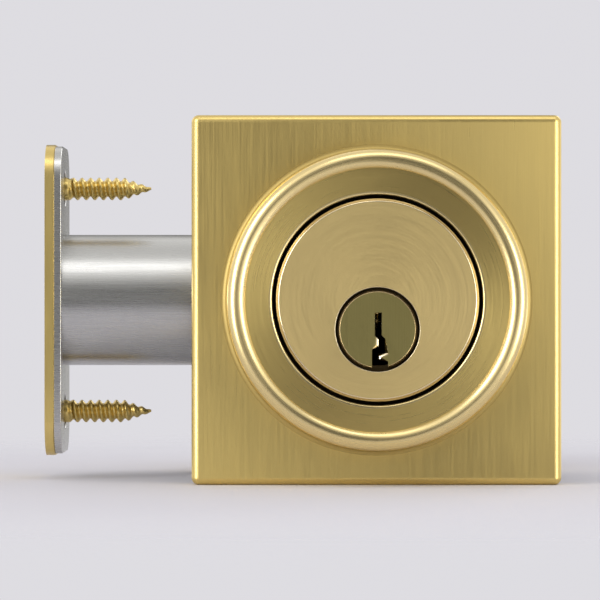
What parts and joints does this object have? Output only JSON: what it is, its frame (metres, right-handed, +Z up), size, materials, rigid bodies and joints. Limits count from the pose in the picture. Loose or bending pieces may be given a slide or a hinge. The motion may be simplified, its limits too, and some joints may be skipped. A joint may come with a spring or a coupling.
{
  "type": "deadbolt door lock",
  "caption": "Keyed tubular deadbolt with a square satin-brass rose, round raised cylinder collar, inside thumb turn and a steel bolt that slides out of the door's edge.",
  "frame": {"origin": "centre of the 54 mm cross bore, halfway through the door's thickness", "axes": "-Y to the keyed outside, +Y to the room, -X to the door's edge where the bolt leaves, +Z up; rest is bolt retracted, key slot and thumb turn upright"},
  "size_m": [0.0933, 0.0884, 0.066],
  "materials": {
    "satin_brass": "satin brushed brass, clear lacquered, fine straight grain on flats and turned grain on round faces",
    "face_brass": "satin turned brass on the lock cylinder's face",
    "plug_brass": "satin brass, fine turned face, a little darker from handling",
    "machined_brass": "bare machined brass",
    "cast_alloy": "as-cast light alloy, fine matte skin",
    "plated_steel": "zinc-plated pressed steel, bright",
    "bolt_steel": "satin nickel-plated steel, drawn lengthwise",
    "spring_steel": "oiled spring steel",
    "pin_steel": "turned nickel silver",
    "hard_steel": "hardened steel, dark",
    "nylon": "natural nylon"
  },
  "bodies": {
    "fixed": {"exterior_rose": "satin_brass", "exterior_liner": "cast_alloy", "bore_ring": "plated_steel", "cylinder_housing": "face_brass", "cylinder_shell": "machined_brass", "shell_clip": "spring_steel", "chamber_cover": "machined_brass", "pin_spring_1": "spring_steel", "pin_spring_2": "spring_steel", "pin_spring_3": "spring_steel", "pin_spring_4": "spring_steel", "pin_spring_5": "spring_steel", "faceplate": "satin_brass", "edge_plate": "plated_steel", "edge_screws": "satin_brass", "latch_tube": "plated_steel", "case_plate_outer": "plated_steel", "case_plate_inner": "plated_steel", "case_rivets": "pin_steel", "tube_rivets": "pin_steel", "brake_spring": "spring_steel", "interior_rose": "satin_brass", "interior_liner": "cast_alloy", "turn_bushing": "nylon", "spring_washer": "spring_steel", "mounting_screws": "satin_brass"},
    "turn": {"thumb_turn": "satin_brass", "turn_clip": "spring_steel"},
    "tail": {"tailpiece": "plated_steel"},
    "cam": {"drive_cam": "cast_alloy"},
    "plug": {"cylinder_plug": "plug_brass", "drill_pins": "hard_steel", "plug_clip": "spring_steel", "tail_retainer": "spring_steel"},
    "bolt": {"dead_bolt": "bolt_steel", "bolt_tail": "plated_steel", "bolt_tail_pins": "pin_steel"},
    "saw_roller": {"saw_pin": "hard_steel"},
    "key_pin_1": {"key_pin_1": "machined_brass"},
    "driver_pin_1": {"driver_pin_1": "pin_steel"},
    "key_pin_2": {"key_pin_2": "machined_brass"},
    "driver_pin_2": {"driver_pin_2": "pin_steel"},
    "key_pin_3": {"key_pin_3": "machined_brass"},
    "driver_pin_3": {"driver_pin_3": "pin_steel"},
    "key_pin_4": {"key_pin_4": "machined_brass"},
    "driver_pin_4": {"driver_pin_4": "pin_steel"},
    "key_pin_5": {"key_pin_5": "machined_brass"},
    "driver_pin_5": {"driver_pin_5": "pin_steel"}
  },
  "joints": [
    {"name": "thumb_turn_turn", "type": "hinge", "parent": "fixed", "child": "turn", "pos_m": [0, 0.03, -0.0052], "axis": [0, -1, 0], "range_deg": [0, 90]},
    {"name": "tailpiece_turn", "type": "hinge", "parent": "fixed", "child": "tail", "pos_m": [0, 0, -0.0052], "axis": [0, -1, 0], "range_deg": [0, 90]},
    {"name": "cam_turn", "type": "hinge", "parent": "fixed", "child": "cam", "pos_m": [0, 0, -0.0052], "axis": [0, -1, 0], "range_deg": [0, 90]},
    {"name": "plug_turn", "type": "hinge", "parent": "fixed", "child": "plug", "pos_m": [0, -0.025, -0.0052], "axis": [0, -1, 0], "range_deg": [0, 90]},
    {"name": "bolt_throw", "type": "slide", "parent": "fixed", "child": "bolt", "axis": [-1, 0, 0], "range_m": [0, 0.0254]},
    {"name": "saw_roller_spin", "type": "hinge", "parent": "bolt", "child": "saw_roller", "pos_m": [-0.04, 0, -0.0015], "axis": [1, 0, 0], "continuous": true},
    {"name": "key_pin_1_drop", "type": "slide", "parent": "plug", "child": "key_pin_1", "axis": [0, 0, 1], "range_m": [-0.00378, 0]},
    {"name": "driver_pin_1_lift", "type": "slide", "parent": "fixed", "child": "driver_pin_1", "axis": [0, 0, 1], "range_m": [0, 0.002], "stiffness_N_per_m": 100, "springref_m": -0.004, "deforming": ["pin_spring_1"]},
    {"name": "key_pin_2_drop", "type": "slide", "parent": "plug", "child": "key_pin_2", "axis": [0, 0, 1], "range_m": [-0.00218, 0]},
    {"name": "driver_pin_2_lift", "type": "slide", "parent": "fixed", "child": "driver_pin_2", "axis": [0, 0, 1], "range_m": [0, 0.002], "stiffness_N_per_m": 100, "springref_m": -0.004, "deforming": ["pin_spring_2"]},
    {"name": "key_pin_3_drop", "type": "slide", "parent": "plug", "child": "key_pin_3", "axis": [0, 0, 1], "range_m": [-0.00318, 0]},
    {"name": "driver_pin_3_lift", "type": "slide", "parent": "fixed", "child": "driver_pin_3", "axis": [0, 0, 1], "range_m": [0, 0.002], "stiffness_N_per_m": 100, "springref_m": -0.004, "deforming": ["pin_spring_3"]},
    {"name": "key_pin_4_drop", "type": "slide", "parent": "plug", "child": "key_pin_4", "axis": [0, 0, 1], "range_m": [-0.00158, 0]},
    {"name": "driver_pin_4_lift", "type": "slide", "parent": "fixed", "child": "driver_pin_4", "axis": [0, 0, 1], "range_m": [0, 0.002], "stiffness_N_per_m": 100, "springref_m": -0.004, "deforming": ["pin_spring_4"]},
    {"name": "key_pin_5_drop", "type": "slide", "parent": "plug", "child": "key_pin_5", "axis": [0, 0, 1], "range_m": [-0.00278, 0]},
    {"name": "driver_pin_5_lift", "type": "slide", "parent": "fixed", "child": "driver_pin_5", "axis": [0, 0, 1], "range_m": [0, 0.002], "stiffness_N_per_m": 100, "springref_m": -0.004, "deforming": ["pin_spring_5"]}
  ],
  "couplings": [
    {"joint": "thumb_turn_turn", "follows": "bolt_throw", "rad_per_m": 61.842},
    {"joint": "tailpiece_turn", "follows": "bolt_throw", "rad_per_m": 61.842},
    {"joint": "cam_turn", "follows": "bolt_throw", "rad_per_m": 61.842},
    {"joint": "plug_turn", "follows": "bolt_throw", "rad_per_m": 61.842}
  ]
}
